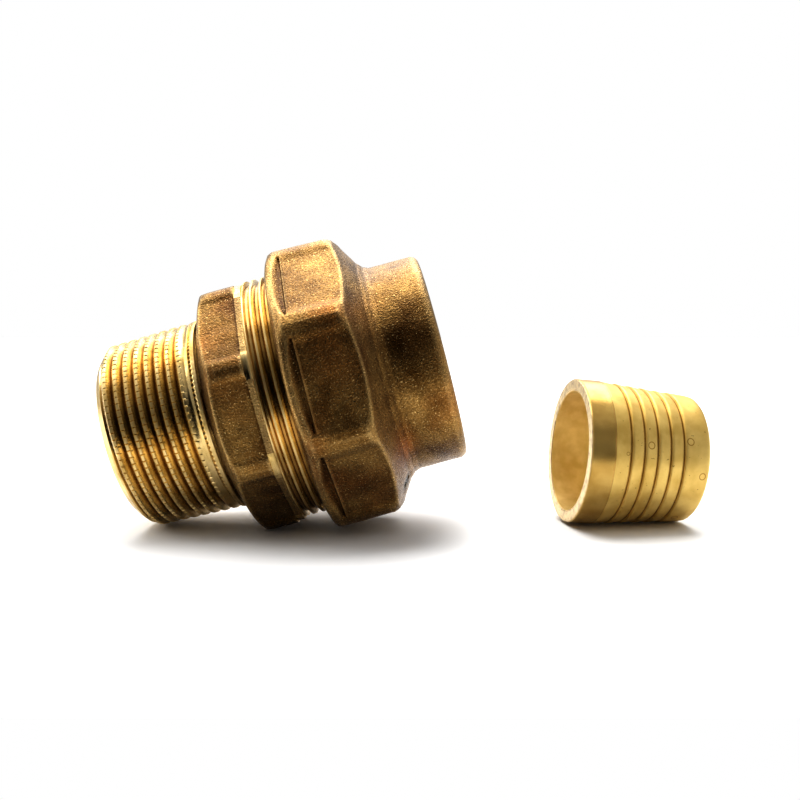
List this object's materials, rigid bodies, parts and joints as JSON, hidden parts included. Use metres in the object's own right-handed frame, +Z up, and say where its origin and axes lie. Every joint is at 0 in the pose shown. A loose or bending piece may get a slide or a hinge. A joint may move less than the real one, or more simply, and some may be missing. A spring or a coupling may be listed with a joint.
{
  "type": "pipe compression union",
  "caption": "Brass compression union for polyethylene pipe: body with a tapered pipe thread and an eight sided grip, a clamp nut with a plain neck, and a loose ribbed liner sleeve.",
  "frame": {"origin": "middle of the whole set's footprint, on the bench that the parts lie on", "axes": "+Z up from the bench, +X along the bench from the threaded end of the union towards the loose sleeve, +Y away from the viewer"},
  "size_m": [0.1319, 0.0622, 0.0632],
  "materials": {
    "cast_body_brass": "as cast grip with a fine sandy skin, threads and collar turned bright",
    "cast_nut_brass": "as cast, fine sandy skin, worn bright on the corners",
    "turned_sleeve_brass": "turned and polished"
  },
  "bodies": {
    "body": {"union_body": "cast_body_brass"},
    "nut": {"clamp_nut": "cast_nut_brass"},
    "sleeve": {"liner_sleeve": "turned_sleeve_brass"}
  },
  "joints": [
    {"name": "nut_turn", "type": "hinge", "parent": "body", "child": "nut", "pos_m": [-0.0151, 0, 0.03141], "axis": [0.9675, 0, 0.253], "range_deg": [-680, 1970]},
    {"name": "sleeve_slide", "type": "slide", "parent": "body", "child": "sleeve", "axis": [0.9925, 0.1219, 0], "range_m": [-0.012, 0.04]}
  ]
}
